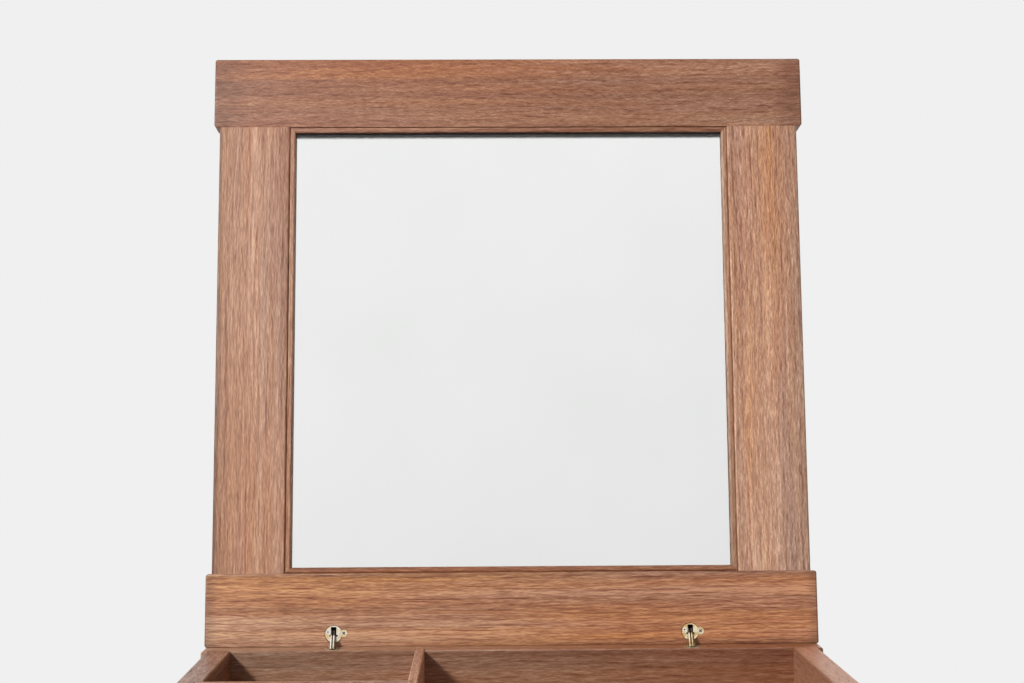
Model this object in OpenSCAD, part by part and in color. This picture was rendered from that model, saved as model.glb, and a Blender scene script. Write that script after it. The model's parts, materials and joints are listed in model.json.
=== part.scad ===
// Walnut dressing chest: an open well with dividers under a lift-up lid that carries a mirror
// on its inner face, and two drawers below. The lid stands open at its stop, leaning back.
// Millimetres. X runs to the right, Y to the back, Z up. The origin is the middle of the underside.

/* [Chest] */
// Length of the long rails and of the front and back walls
chest_w = 520; // [480:1:620]
// Depth from front to back, which is also the length of the lid
chest_d = 515; // [460:1:620]
// How far the long rails and walls stand past the sides and stiles
rail_proud = 5; // [2:0.5:10]
// Thickness of the four walls
wall_t = 20; // [19:0.5:26]
// Thickness of the base board
base_t = 20; // [16:0.5:28]
// Radius of the corners at the ends of the long rails and walls
corner_r = 3; // [2:0.5:5]
// Radius of every other visible arris
arris_r = 1.5; // [0.8:0.1:1.8]

/* [Lid] */
// Angle between the shut and the open lid
lid_open = 98; // [92:1:104]
// Thickness of the lid
lid_t = 22; // [21:0.5:28]
// Width of the two rails on the mirror side
rail_w = 62; // [50:1:80]
// Width of the two stiles on the mirror side
stile_w = 62; // [50:1:80]
// How far the stiles' faces lie below the rails' faces
stile_set = 0.3; // [0.2:0.1:0.6]
// Gap between the shut lid and the rim
lid_gap = 0.6; // [0.4:0.1:1]
// Distance of the axis that the lid turns about from the back edge
pivot_in = 0.6; // [0.5:0.1:0.8]

/* [Mirror] */
// Thickness of the glass
glass_t = 3; // [3:0.5:4]
// Thickness of the backing board behind the glass
backing_t = 2.5; // [2:0.5:3]
// Width of the glazing bead
bead_w = 4.8; // [3.8:0.1:8]
// Height of the glazing bead
bead_h = 4.7; // [4:0.1:6]
// How far the bead's face lies below the lid's face
bead_set = 0.8; // [0.4:0.1:1.2]
// Gap between the bead and the frame, which shows as a fine dark line
bead_gap = 0.2; // [0.1:0.05:0.5]
// Width of the ledge that the backing board rests on
ledge_w = 8; // [7:0.5:12]
// Thickness of the lid's outer panel
panel_t = 6; // [5:0.5:7]
// How far the outer panel lies below the lid's outer face
panel_set = 3; // [2:0.5:3.5]
// Depth of the groove that holds the outer panel
panel_groove = 6; // [4:0.5:6.5]

/* [Hinges] */
// Distance between the two hinges
hinge_pitch = 302; // [240:1:360]
// Diameter of the barrels
barrel_d = 15; // [14.5:0.1:15.2]
// Width of the chamfer round the barrels' faces
barrel_ease = 0.5; // [0.3:0.1:0.6]
// Length of the barrels
barrel_l = 17.8; // [17.5:0.1:18.5]
// Distance from the barrels' centres to the back edge
barrel_in = 11; // [10.8:0.1:11.1]
// Width of the slot that the link arms work in
slot_w = 4.6; // [4.6:0.1:4.8]
// Distance of the arms' pins from the back edge
pin_in = 9.6; // [9.5:0.1:9.8]
// Depth of the arms' pins below the barrels' faces
pin_down = 5; // [4.8:0.1:5.4]
// Diameter of the arms' pins
pin_d = 1.4; // [1.2:0.1:1.6]
// Width of the link arms
arm_w = 3.4; // [3.2:0.1:3.5]
// Thickness of each arm: a hinge has four, pinned by turns in the lid's and in the wall's barrel
arm_t = 1; // [0.8:0.05:1]
// Diameter of the ear that takes the barrel's screw
ear_d = 6.8; // [6.6:0.1:7.4]
// Thickness of the ear
ear_t = 1.6; // [1.5:0.1:2]
// Diameter of the barrel screws' heads
ear_screw_head = 5.4; // [5:0.1:5.6]

/* [Well] */
// Clear depth of the well
well_depth = 88; // [60:1:120]
// Height of the rail under the well's floor
well_lip = 6; // [5:0.5:20]
// Thickness of the well's floor
well_floor_t = 8; // [6:0.5:10]
// Thickness of the dividers
divider_t = 8; // [6:0.5:12]
// How far the dividers are let into the walls
divider_housing = 7; // [5:0.5:8]
// Clear width of the left column of the well
left_column_w = 153.5; // [110:0.5:200]
// Clear depth of the compartment behind the cross divider
rear_cell_d = 142; // [90:1:180]

/* [Drawers] */
// Height of each drawer opening
drawer_opening_h = 100; // [80:1:130]
// Thickness of the rail between the drawers
mid_rail_t = 18; // [14:0.5:22]
// Depth of the rail between the drawers
mid_rail_d = 60; // [40:1:80]
// Gap round each drawer front
drawer_gap = 1.5; // [1:0.1:2.5]
// Thickness of the drawer fronts
drawer_front_t = 18; // [16:0.5:20]
// Thickness of the drawer sides
drawer_side_t = 12; // [11:0.5:14]
// Gap over the drawer sides
drawer_head_gap = 8.5; // [6:0.5:14]
// Gap under the drawer sides
drawer_foot_gap = 7.5; // [6:0.5:12]
// Gap between the shut drawers and the back wall
drawer_rear_gap = 37; // [10:1:80]
// Thickness of the drawer backs
drawer_back_t = 10; // [8:0.5:12]
// Thickness of the drawer bottoms
drawer_bottom_t = 5; // [4:0.5:6]
// Thickness of the runners
runner_t = 7; // [6:0.5:7]
// Height of the runners
runner_h = 14; // [12:0.5:16]
// Diameter of the knobs
knob_d = 26; // [20:0.5:32]
// How far the knobs stand out
knob_out = 22; // [18:0.5:28]

/* [Hidden] */
$fn = 64;
// Clearance of pieces that are glued or slid into a groove
joint_gap = 0.1;
// Radial clearance of the arms on their pins
pin_play = 0.05;
// Clearance at the end of a tenon or a tongue
end_gap = 0.5;
// Radial clearance of screws in their holes
screw_ease = 0.02;

front_y = -chest_d / 2;
back_y = chest_d / 2;
rail_x = chest_w / 2;
side_x = rail_x - rail_proud;
inner_x = side_x - wall_t;
inner_front_y = front_y + wall_t;
inner_back_y = back_y - wall_t;
rim_h = base_t + 2 * drawer_opening_h + mid_rail_t + well_lip + well_floor_t + well_depth;

// Lid: s runs from the hinge edge to the free edge, and the mirror's side faces +Z before it is raised
lid_l = chest_d;
stile_x = side_x - stile_w;
mirror_s0 = rail_w;
mirror_s1 = lid_l - rail_w;
bead_bottom = -(bead_set + bead_h);
glass_bottom = bead_bottom - glass_t;
ledge_top = glass_bottom - backing_t;
panel_bottom = -lid_t + panel_set;
panel_top = panel_bottom + panel_t;
tenon_t = 7;
tenon_shoulder = 9;
tenon_w = stile_w - 2 * tenon_shoulder;
tenon_l = 28;
tenon_mid = -lid_t / 2;
glass_gap = 0.6;

// Hinges
hinge_x = hinge_pitch / 2;
// Radial clearance of the barrels in their bores, which shows as a fine dark ring
bore_play = 0.15;
arm_turn = lid_open / 2;
// An arm's middle line, from its pin at [0, 0] to its tip, with X away from the back edge
arm_bends = [[0, 0], [5.5, 1.2], [5.5, 5], [3.4, 19]];
// How far the arms' middle lines swing from their pins at the barrels' faces, to the back and to the front
arm_sweep_back = 1.4;
arm_sweep_front = 5.6;
slot_near = barrel_in - pin_in + arm_sweep_back + arm_w / 2;
slot_far = pin_in - barrel_in + arm_sweep_front + arm_w / 2;
slot_deep = arm_bends[len(arm_bends) - 1][1] - pin_down - lid_gap + arm_w / 2 + end_gap;
arm_play = 0.12;
arm_pitch = arm_t + arm_play;
pin_l = 6.8;
ear_at = [8.6, 0.6];
ear_ease = 0.25;
ear_screw_d = 3;
ear_screw_l = 14;
ear_head_h = 1.5;
grub_at = [-4.8, 1.7];
grub_d = 2.8;
grub_l = 6;
// How far the grub screws' ends lie below the barrels' faces
grub_in = 0.5;
grub_hex = 1.4;

// Well
well_floor_z = rim_h - well_depth;
floor_groove = 6;
well_rail_z = well_floor_z - well_floor_t - well_lip;
divider_x0 = -inner_x + left_column_w;
cross_y1 = inner_back_y - rear_cell_d;
cross_y0 = cross_y1 - divider_t;
cross_housing_in = 3;
tongue_t = 7;
tongue_l = 6;
rail_tongue_in = 12;

// Drawers, the lower one first
drawer_z = [well_rail_z - 2 * drawer_opening_h - mid_rail_t, well_rail_z - drawer_opening_h];
drawer_front_w = 2 * (inner_x - drawer_gap);
drawer_front_h = drawer_opening_h - 2 * drawer_gap;
drawer_back_y = front_y + drawer_front_t;
drawer_side_x = drawer_front_w / 2 - drawer_side_t;
drawer_side_z = drawer_foot_gap;
drawer_side_h = drawer_opening_h - drawer_foot_gap - drawer_head_gap;
drawer_box_d = inner_back_y - drawer_rear_gap - drawer_back_y;
tail_l = 12;
tail_count = 3;
tail_pitch = (drawer_side_h - 4) / tail_count;
tail_wide = 0.68 * tail_pitch;
tail_narrow = 0.48 * tail_pitch;
box_groove = 5;
bottom_up = 8;
drawer_back_h = drawer_side_h - bottom_up - drawer_bottom_t - 6;
runner_play = 0.5;
runner_groove = runner_t - drawer_gap + runner_play;
runner_up = drawer_side_z + drawer_side_h / 2 - runner_h / 2;
runner_stop = 22;
runner_l = drawer_box_d - runner_stop - 4;
runner_screw_d = 3.5;
runner_screw_head = 6;
runner_screw_l = 18;
mid_rail_z = drawer_z[0] + drawer_opening_h;
knob_neck = 13;
knob_foot = 17;
knob_screw_d = 4;
knob_screw_head = 8;
knob_screw_in = 12;

// A flat rectangle with rounded corners, its low corner at the origin
module round_rect(w, h, r) {
    translate([0, r]) square([w, h - 2 * r]);
    translate([r, 0]) square([w - 2 * r, h]);
    for (x = [r, w - r], y = [r, h - r]) translate([x, y]) circle(r);
}

// A board between two corners with its arrises eased; "across" is the axis that looks at the
// face whose four corners have the larger radius
module board(low, high, across = "none") {
    size = high - low;
    rx = across == "x" ? corner_r : arris_r;
    ry = across == "y" ? corner_r : arris_r;
    rz = across == "z" ? corner_r : arris_r;
    translate(low) intersection() {
        linear_extrude(size[2]) round_rect(size[0], size[1], rz);
        translate([0, size[1], 0]) rotate([90, 0, 0])
            linear_extrude(size[1]) round_rect(size[0], size[2], ry);
        rotate([90, 0, 90]) linear_extrude(size[0]) round_rect(size[1], size[2], rx);
    }
}

// A board along Y whose ends are square
module square_ended(low, high) {
    size = high - low;
    translate([low[0], high[1], low[2]]) rotate([90, 0, 0])
        linear_extrude(size[1]) round_rect(size[0], size[2], arris_r);
}

// A plain block between two corners
module block(low, high) {
    translate(low) cube(high - low);
}

// Puts what is drawn lying on its back, mirror up, in the open lid
module in_lid() {
    translate([0, back_y - pivot_in, rim_h + lid_gap / 2]) rotate([180 - lid_open, 0, 0])
        translate([0, -pivot_in, -lid_gap / 2]) children();
}

// Puts what is drawn for a barrel at the origin, with its face up, in the lid or in the wall
module at_lid_hinge(side) {
    in_lid() translate([side * hinge_x, barrel_in, 0]) children();
}
module at_wall_hinge(side) {
    translate([side * hinge_x, back_y - barrel_in, rim_h]) mirror([0, 1, 0]) children();
}

// The frame of the lid

// A rail as it leaves the bench; its inner arris is only eased down to the stiles' faces
module lid_rail_blank() {
    board([-rail_x, 0, -lid_t], [rail_x, rail_w, 0], "z");
    block([-side_x, rail_w - arris_r, -lid_t + stile_set], [side_x, rail_w, -stile_set]);
    block([-stile_x, rail_w - arris_r, -lid_t], [stile_x, rail_w + ledge_w, ledge_top]);
}

module panel_groove_cut() {
    block([-stile_x + ledge_w - panel_groove, rail_w + ledge_w - panel_groove,
            panel_bottom - joint_gap],
        [stile_x - ledge_w + panel_groove, lid_l - rail_w - ledge_w + panel_groove,
            panel_top + joint_gap]);
}

module tenon_at_hinge_end(gap, extra) {
    for (side = [-1, 1]) translate([side * (stile_x + stile_w / 2), rail_w, tenon_mid])
        block([-tenon_w / 2 - gap, -tenon_l - extra, -tenon_t / 2 - gap],
            [tenon_w / 2 + gap, arris_r, tenon_t / 2 + gap]);
}

module ear_and_barrel_bore() {
    translate([0, 0, -barrel_l - end_gap])
        cylinder(r = barrel_d / 2 + bore_play, h = barrel_l + end_gap + 1);
    translate([ear_at[0], ear_at[1], -ear_t - bore_play])
        cylinder(r = ear_d / 2 + joint_gap, h = ear_t + bore_play + 1);
    translate([ear_at[0], ear_at[1], -ear_screw_l - end_gap])
        cylinder(r = ear_screw_d / 2 + screw_ease, h = ear_screw_l + end_gap);
}

module lid_hinge_rail() {
    color("#9a6a4c") in_lid() difference() {
        lid_rail_blank();
        panel_groove_cut();
        tenon_at_hinge_end(joint_gap, end_gap);
        for (side = [-1, 1]) translate([side * hinge_x, barrel_in, 0]) ear_and_barrel_bore();
    }
}

module lid_front_rail() {
    color("#9a6a4c") in_lid() translate([0, lid_l, 0]) mirror([0, 1, 0]) difference() {
        lid_rail_blank();
        panel_groove_cut();
        tenon_at_hinge_end(joint_gap, end_gap);
    }
}

module stile_tenon(end) {
    translate([stile_x + stile_w / 2, end < 0 ? mirror_s0 : mirror_s1, tenon_mid])
        block([-tenon_w / 2, end < 0 ? -tenon_l : -arris_r, -tenon_t / 2],
            [tenon_w / 2, end < 0 ? arris_r : tenon_l, tenon_t / 2]);
}

module lid_stile(side) {
    color("#b58a68") in_lid() mirror([side < 0 ? 1 : 0, 0, 0]) difference() {
        union() {
            square_ended([stile_x, mirror_s0, -lid_t + stile_set], [side_x, mirror_s1, -stile_set]);
            block([stile_x - ledge_w, mirror_s0 + ledge_w, -lid_t + stile_set],
                [stile_x + arris_r, mirror_s1 - ledge_w, ledge_top]);
            for (end = [-1, 1]) stile_tenon(end);
        }
        panel_groove_cut();
    }
}

module lid_panel() {
    inset = ledge_w - panel_groove + end_gap;
    color("#9a6a4c") in_lid() block(
        [-stile_x + inset, mirror_s0 + inset, panel_bottom],
        [stile_x - inset, mirror_s1 - inset, panel_top]);
}

// The mirror

module mirror_glass() {
    color("#e8ecee") in_lid() block([-stile_x + glass_gap, mirror_s0 + glass_gap, glass_bottom],
        [stile_x - glass_gap, mirror_s1 - glass_gap, bead_bottom]);
}

module mirror_backing() {
    color("#6b5443") in_lid() block([-stile_x + glass_gap, mirror_s0 + glass_gap, ledge_top],
        [stile_x - glass_gap, mirror_s1 - glass_gap, glass_bottom]);
}

// A bead along X, mitred at both ends, its outer edge on Y = 0 and its face up
module bead(length) {
    translate([0, 0, bead_bottom]) intersection() {
        translate([-length / 2, 0, 0]) rotate([90, 0, 90]) linear_extrude(length) union() {
            square([bead_w, bead_h - arris_r]);
            translate([arris_r, 0]) square([bead_w - 2 * arris_r, bead_h]);
            for (y = [arris_r, bead_w - arris_r]) translate([y, bead_h - arris_r]) circle(arris_r);
        }
        linear_extrude(bead_h) polygon([
            [-length / 2, 0], [length / 2, 0],
            [length / 2 - bead_w, bead_w], [-length / 2 + bead_w, bead_w]]);
    }
}

bead_x = stile_x - bead_gap;
bead_s0 = mirror_s0 + bead_gap;
bead_s1 = mirror_s1 - bead_gap;

module bead_hinge_side() {
    color("#8a5d42") in_lid() translate([0, bead_s0, 0]) bead(2 * bead_x);
}

module bead_front() {
    color("#8a5d42") in_lid() translate([0, bead_s1, 0]) rotate([0, 0, 180]) bead(2 * bead_x);
}

module bead_side(side) {
    color("#8a5d42") in_lid() translate([side * bead_x, (bead_s0 + bead_s1) / 2, 0])
        rotate([0, 0, side * 90]) bead(bead_s1 - bead_s0);
}

// The hinges: a barrel's face is at Z = 0, and +Y points away from the chest's back edge

// A rod below Z = 0 whose top edge is chamfered
module eased_rod(d, h, ease) {
    translate([0, 0, -h]) cylinder(r = d / 2, h = h - ease);
    translate([0, 0, -ease]) cylinder(r1 = d / 2, r2 = d / 2 - ease, h = ease);
}

// A barrel with its ear; the ear's screw runs down a shallow groove in the barrel's flank and holds
// in the wood beside it
module barrel() {
    difference() {
        union() {
            eased_rod(barrel_d, barrel_l, barrel_ease);
            translate([ear_at[0], ear_at[1], 0]) eased_rod(ear_d, ear_t, ear_ease);
        }
        block([-slot_w / 2, -slot_near, -slot_deep], [slot_w / 2, slot_far, 1]);
        pin_channel();
        translate([ear_at[0], ear_at[1], -barrel_l - 1])
            cylinder(r = ear_screw_d / 2 + joint_gap, h = barrel_l + 2);
        translate([ear_at[0], ear_at[1], -ear_head_h])
            cylinder(r1 = ear_screw_d / 2 + joint_gap, r2 = ear_screw_head / 2 + joint_gap,
                h = ear_head_h + 0.001);
        translate([grub_at[0], grub_at[1], -grub_l - end_gap]) cylinder(r = grub_d / 2, h = grub_l + 2);
    }
}

// The notch that a pin drops into from the barrel's face
module pin_channel() {
    half = pin_d / 2 + pin_play;
    y = pin_in - barrel_in;
    block([-pin_l / 2 - joint_gap, y - half, -pin_down], [pin_l / 2 + joint_gap, y + half, 1]);
    translate([0, y, -pin_down]) rotate([0, 90, 0])
        cylinder(r = half, h = pin_l + 2 * joint_gap, center = true);
}

module arm_pin() {
    translate([0, pin_in - barrel_in, -pin_down]) rotate([0, 90, 0])
        cylinder(r = pin_d / 2, h = pin_l, center = true);
}

// A cross-head countersunk screw with its head up at Z = 0
module countersunk(head_d, shank_d, length, head_h) {
    difference() {
        union() {
            translate([0, 0, -head_h]) cylinder(r1 = shank_d / 2, r2 = head_d / 2, h = head_h);
            translate([0, 0, -length]) cylinder(r = shank_d / 2, h = length - head_h);
        }
        for (turn = [0, 90]) rotate([0, 0, turn + 45])
            block([-head_d * 0.28, -0.4, -head_h * 0.6], [head_d * 0.28, 0.4, 1]);
    }
}

module ear_screw() {
    translate([ear_at[0], ear_at[1], 0])
        countersunk(ear_screw_head, ear_screw_d, ear_screw_l, ear_head_h);
}

module grub_screw() {
    translate([grub_at[0], grub_at[1], -grub_l]) difference() {
        cylinder(r = grub_d / 2 - screw_ease, h = grub_l - grub_in);
        translate([0, 0, grub_l - 2]) cylinder(r = grub_hex / 2, h = 3, $fn = 6);
    }
}

// A cranked arm from its pin at the origin to its rounded tip, drawn flat
module arm_leg(from, to) {
    leg = to - from;
    translate(from) rotate(atan2(leg[1], leg[0])) translate([0, -arm_w / 2])
        square([norm(leg), arm_w]);
}

module arm() {
    linear_extrude(arm_t, center = true) difference() {
        union() {
            for (p = arm_bends) translate(p) circle(arm_w / 2);
            for (i = [1 : len(arm_bends) - 1]) arm_leg(arm_bends[i - 1], arm_bends[i]);
        }
        circle(pin_d / 2 + pin_play);
    }
}

module wall_arm(side) {
    color("#c9a227") for (place = [-0.5, 1.5])
        translate([side * hinge_x + place * arm_pitch, back_y - pin_in, rim_h - pin_down])
            rotate([-arm_turn, 0, 0]) rotate([90, 0, -90]) arm();
}

module lid_arms(side) {
    color("#c9a227") in_lid() for (place = [-1.5, 0.5])
        translate([side * hinge_x + place * arm_pitch, pin_in, -pin_down])
            rotate([arm_turn, 0, 0]) rotate([90, 0, 90]) arm();
}

module lid_barrel(side) { color("#b8963e") at_lid_hinge(side) barrel(); }
module wall_barrel(side) { color("#b8963e") at_wall_hinge(side) barrel(); }
module lid_barrel_screws() { color("#c9a227") for (side = [-1, 1]) at_lid_hinge(side) ear_screw(); }
module wall_barrel_screws() { color("#c9a227") for (side = [-1, 1]) at_wall_hinge(side) ear_screw(); }
module lid_grub_screws() { color("#8f9194") for (side = [-1, 1]) at_lid_hinge(side) grub_screw(); }
module wall_grub_screws() { color("#8f9194") for (side = [-1, 1]) at_wall_hinge(side) grub_screw(); }
module lid_arm_pins() { color("#8f9194") for (side = [-1, 1]) at_lid_hinge(side) arm_pin(); }
module wall_arm_pins() { color("#8f9194") for (side = [-1, 1]) at_wall_hinge(side) arm_pin(); }

// The walls of the chest

module floor_groove_cut() {
    block([-inner_x - floor_groove, inner_front_y - floor_groove,
            well_floor_z - well_floor_t - joint_gap],
        [inner_x + floor_groove, inner_back_y + floor_groove, well_floor_z + joint_gap]);
}

// Where the dividers are let in: the long one in the front and back walls, the cross one in the left side
module long_housing_cut() {
    block([divider_x0 - joint_gap, inner_front_y - divider_housing - joint_gap, well_floor_z],
        [divider_x0 + divider_t + joint_gap, inner_back_y + divider_housing + joint_gap, rim_h + 1]);
}
module cross_housing_cut() {
    block([-inner_x - divider_housing - joint_gap, cross_y0 - joint_gap, well_floor_z],
        [divider_x0 + cross_housing_in + joint_gap, cross_y1 + joint_gap, rim_h + 1]);
}

// The tongue on a side's back end, and its groove in the back wall
module side_tongue(gap, extra) {
    mid = inner_x + wall_t / 2;
    block([mid - tongue_t / 2 - gap, inner_back_y - wall_t, base_t + wall_t - gap],
        [mid + tongue_t / 2 + gap, inner_back_y + tongue_l + extra, rim_h - wall_t + gap]);
}

// Fills a wall's inner top arris over the ends of the sides, so that the rim is flush there
module flush_ends(y) {
    for (x = [-side_x, inner_x]) block([x, y, rim_h - arris_r], [x + wall_t, y + arris_r, rim_h]);
}

module back_wall() {
    color("#9a6a4c") difference() {
        union() {
            board([-rail_x, inner_back_y, base_t], [rail_x, back_y, rim_h], "y");
            flush_ends(inner_back_y);
        }
        floor_groove_cut();
        long_housing_cut();
        for (side = [-1, 1]) mirror([side < 0 ? 1 : 0, 0, 0]) side_tongue(joint_gap, end_gap);
        for (side = [-1, 1]) at_wall_hinge(side) ear_and_barrel_bore();
    }
}

module well_rail() {
    color("#9a6a4c") difference() {
        union() {
            board([-rail_x, front_y, well_rail_z], [rail_x, inner_front_y, rim_h], "y");
            flush_ends(inner_front_y - arris_r);
        }
        floor_groove_cut();
        long_housing_cut();
    }
}

module side_board(side) {
    color("#a37a5c") difference() {
        mirror([side < 0 ? 1 : 0, 0, 0]) difference() {
            union() {
                difference() {
                    board([inner_x, front_y, base_t], [side_x, back_y, rim_h]);
                    block([inner_x - 1, inner_back_y, base_t - 1], [side_x + 1, back_y + 1, rim_h + 1]);
                }
                side_tongue(0, 0);
            }
            block([inner_x - 1, front_y - 1, well_rail_z], [side_x + 1, inner_front_y, rim_h + 1]);
            block([inner_x - 1, front_y + rail_tongue_in - joint_gap, mid_rail_z - joint_gap],
                [inner_x + tongue_l + end_gap, front_y + mid_rail_d + joint_gap,
                    mid_rail_z + mid_rail_t + joint_gap]);
            floor_groove_cut();
        }
        cross_housing_cut();
        runner_screw_cut();
    }
}

module well_floor() {
    let_in = floor_groove - end_gap;
    color("#8f6347") block(
        [-inner_x - let_in, inner_front_y - let_in, well_floor_z - well_floor_t],
        [inner_x + let_in, inner_back_y + let_in, well_floor_z]);
}

module long_divider() {
    color("#9a6a4c") difference() {
        board([divider_x0, inner_front_y - divider_housing, well_floor_z],
            [divider_x0 + divider_t, inner_back_y + divider_housing, rim_h]);
        cross_housing_cut();
    }
}

module cross_divider() {
    color("#9a6a4c") board([-inner_x - divider_housing, cross_y0, well_floor_z],
        [divider_x0 + cross_housing_in, cross_y1, rim_h]);
}

module drawer_rail() {
    color("#9a6a4c") {
        board([-inner_x, front_y, mid_rail_z],
            [inner_x, front_y + mid_rail_d, mid_rail_z + mid_rail_t]);
        block([-inner_x - tongue_l, front_y + rail_tongue_in, mid_rail_z],
            [inner_x + tongue_l, front_y + mid_rail_d, mid_rail_z + mid_rail_t]);
    }
}

module base_board() {
    color("#9a6a4c") board([-rail_x, front_y, 0], [rail_x, back_y, base_t], "z");
}

// Runners, screwed to the sides

module runner(level, side) {
    z = drawer_z[level] + runner_up + runner_play;
    color("#d8c19a") difference() {
        mirror([side < 0 ? 1 : 0, 0, 0]) block(
            [inner_x - runner_t, drawer_back_y + runner_stop + runner_play, z],
            [inner_x, drawer_back_y + runner_stop + runner_l, z + runner_h - 2 * runner_play]);
        runner_screw_cut();
    }
}

module at_runner_screws() {
    for (level = [0, 1], side = [-1, 1], step = [0.08, 0.5, 0.92])
        mirror([side < 0 ? 1 : 0, 0, 0]) translate([inner_x - runner_t,
            drawer_back_y + runner_stop + step * runner_l, drawer_z[level] + runner_up + runner_h / 2])
            rotate([0, -90, 0]) children();
}

module runner_screw_cut() {
    at_runner_screws() {
        translate([0, 0, -runner_screw_l - end_gap])
            cylinder(r = runner_screw_d / 2 + screw_ease, h = runner_screw_l + end_gap);
        translate([0, 0, -2 - joint_gap])
            cylinder(r1 = runner_screw_d / 2, r2 = runner_screw_head / 2 + joint_gap,
                h = 2 + joint_gap + 0.001);
    }
}

module runner_screws() {
    color("#8f9194") at_runner_screws() translate([0, 0, -joint_gap])
        countersunk(runner_screw_head, runner_screw_d, runner_screw_l, 2);
}

// A drawer is drawn for its own opening, whose floor is at Z = 0

module tails(gap) {
    for (i = [0 : tail_count - 1])
        translate([0, drawer_back_y, drawer_side_z + 2 + tail_pitch * (i + 0.5)])
        rotate([90, 0, 90]) linear_extrude(drawer_side_t + gap) polygon([
            [gap, -tail_narrow / 2 - gap], [gap, tail_narrow / 2 + gap],
            [-tail_l - gap, tail_wide / 2 + gap], [-tail_l - gap, -tail_wide / 2 - gap]]);
}

module drawer_bottom_cut() {
    block([-drawer_side_x - box_groove, drawer_back_y - box_groove,
            drawer_side_z + bottom_up - joint_gap],
        [drawer_side_x + box_groove, drawer_back_y + drawer_box_d + 1,
            drawer_side_z + bottom_up + drawer_bottom_t + joint_gap]);
}

module drawer_front(level) {
    color("#9a6a4c") translate([0, 0, drawer_z[level]]) difference() {
        board([-drawer_front_w / 2, front_y, drawer_gap],
            [drawer_front_w / 2, drawer_back_y, drawer_gap + drawer_front_h]);
        for (side = [-1, 1]) mirror([side < 0 ? 1 : 0, 0, 0])
            translate([drawer_side_x - joint_gap, 0, 0]) tails(joint_gap);
        drawer_bottom_cut();
        at_knob() translate([0, 0, -drawer_front_t - 1])
            cylinder(r = knob_screw_d / 2, h = drawer_front_t + 2);
    }
}

module drawer_side(level, side) {
    color("#d9c29c") translate([0, 0, drawer_z[level]]) mirror([side < 0 ? 1 : 0, 0, 0]) difference() {
        union() {
            board([drawer_side_x, drawer_back_y, drawer_side_z],
                [drawer_side_x + drawer_side_t, drawer_back_y + drawer_box_d,
                    drawer_side_z + drawer_side_h]);
            block([drawer_side_x, drawer_back_y, drawer_side_z + arris_r],
                [drawer_side_x + drawer_side_t, drawer_back_y + 2 * arris_r,
                    drawer_side_z + drawer_side_h - arris_r]);
            translate([drawer_side_x, 0, 0]) tails(0);
        }
        block([drawer_side_x + drawer_side_t - runner_groove, drawer_back_y + runner_stop, runner_up],
            [drawer_side_x + drawer_side_t + 1, drawer_back_y + drawer_box_d + 1,
                runner_up + runner_h]);
        drawer_bottom_cut();
        block([drawer_side_x - 1, drawer_back_y + drawer_box_d - 2 * drawer_back_t - joint_gap,
                drawer_side_z + bottom_up],
            [drawer_side_x + box_groove, drawer_back_y + drawer_box_d - drawer_back_t + joint_gap,
                drawer_side_z + drawer_side_h + 1]);
    }
}

module drawer_back(level) {
    y = drawer_back_y + drawer_box_d - 2 * drawer_back_t;
    z = drawer_side_z + bottom_up + drawer_bottom_t + joint_gap;
    color("#d9c29c") translate([0, 0, drawer_z[level]])
        board([-drawer_side_x - box_groove + joint_gap, y, z],
            [drawer_side_x + box_groove - joint_gap, y + drawer_back_t, z + drawer_back_h]);
}

module drawer_bottom(level) {
    let_in = box_groove - end_gap;
    z = drawer_side_z + bottom_up;
    color("#e0cfae") translate([0, 0, drawer_z[level]])
        block([-drawer_side_x - let_in, drawer_back_y - let_in, z],
            [drawer_side_x + let_in, drawer_back_y + drawer_box_d - drawer_back_t,
                z + drawer_bottom_t]);
}

// The knob's axis leaves the middle of the drawer front along Z
module at_knob() {
    translate([0, front_y, drawer_opening_h / 2]) rotate([90, 0, 0]) children();
}

module knob(level) {
    head = knob_d / 2;
    rim = 3;
    color("#7d5239") translate([0, 0, drawer_z[level]]) at_knob() difference() {
        rotate_extrude() difference() {
            union() {
                square([knob_foot / 2, 2]);
                square([knob_neck / 2, knob_out - rim]);
                translate([0, knob_out - 3 * rim]) square([head - rim, 3 * rim]);
                translate([head - rim, knob_out - rim]) circle(rim);
                translate([0, knob_out - 3 * rim]) polygon([
                    [0, 0], [knob_neck / 2, 0], [head, 2 * rim], [0, 2 * rim]]);
            }
            translate([-2 * head, -1]) square([2 * head, knob_out + 2]);
        }
        translate([0, 0, -1]) cylinder(r = knob_screw_d / 2, h = knob_screw_in + 1 + end_gap);
    }
}

module knob_screw(level) {
    color("#8f9194") translate([0, 0, drawer_z[level]]) at_knob() {
        translate([0, 0, -drawer_front_t])
            cylinder(r = knob_screw_d / 2 - screw_ease, h = drawer_front_t + knob_screw_in);
        translate([0, 0, -drawer_front_t - 2.4]) cylinder(r = knob_screw_head / 2, h = 2.4);
    }
}

lid_front_rail();
lid_hinge_rail();
lid_stile(-1);  // lid_stile_left
lid_stile(1);  // lid_stile_right
lid_panel();
mirror_glass();
mirror_backing();
bead_front();
bead_hinge_side();
bead_side(-1);  // bead_left
bead_side(1);  // bead_right
lid_barrel(-1);  // lid_barrel_left
lid_barrel(1);  // lid_barrel_right
lid_barrel_screws();
lid_grub_screws();
lid_arm_pins();
wall_arm(-1);  // wall_arm_left
wall_arm(1);  // wall_arm_right
lid_arms(-1);  // lid_arms_left
lid_arms(1);  // lid_arms_right
wall_barrel(-1);  // wall_barrel_left
wall_barrel(1);  // wall_barrel_right
wall_barrel_screws();
wall_grub_screws();
wall_arm_pins();
back_wall();
well_rail();
side_board(-1);  // side_left
side_board(1);  // side_right
well_floor();
long_divider();
cross_divider();
drawer_rail();
base_board();
runner(0, -1);  // runner_lower_left
runner(0, 1);  // runner_lower_right
runner(1, -1);  // runner_upper_left
runner(1, 1);  // runner_upper_right
runner_screws();
drawer_front(0);  // lower_drawer_front
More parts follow.
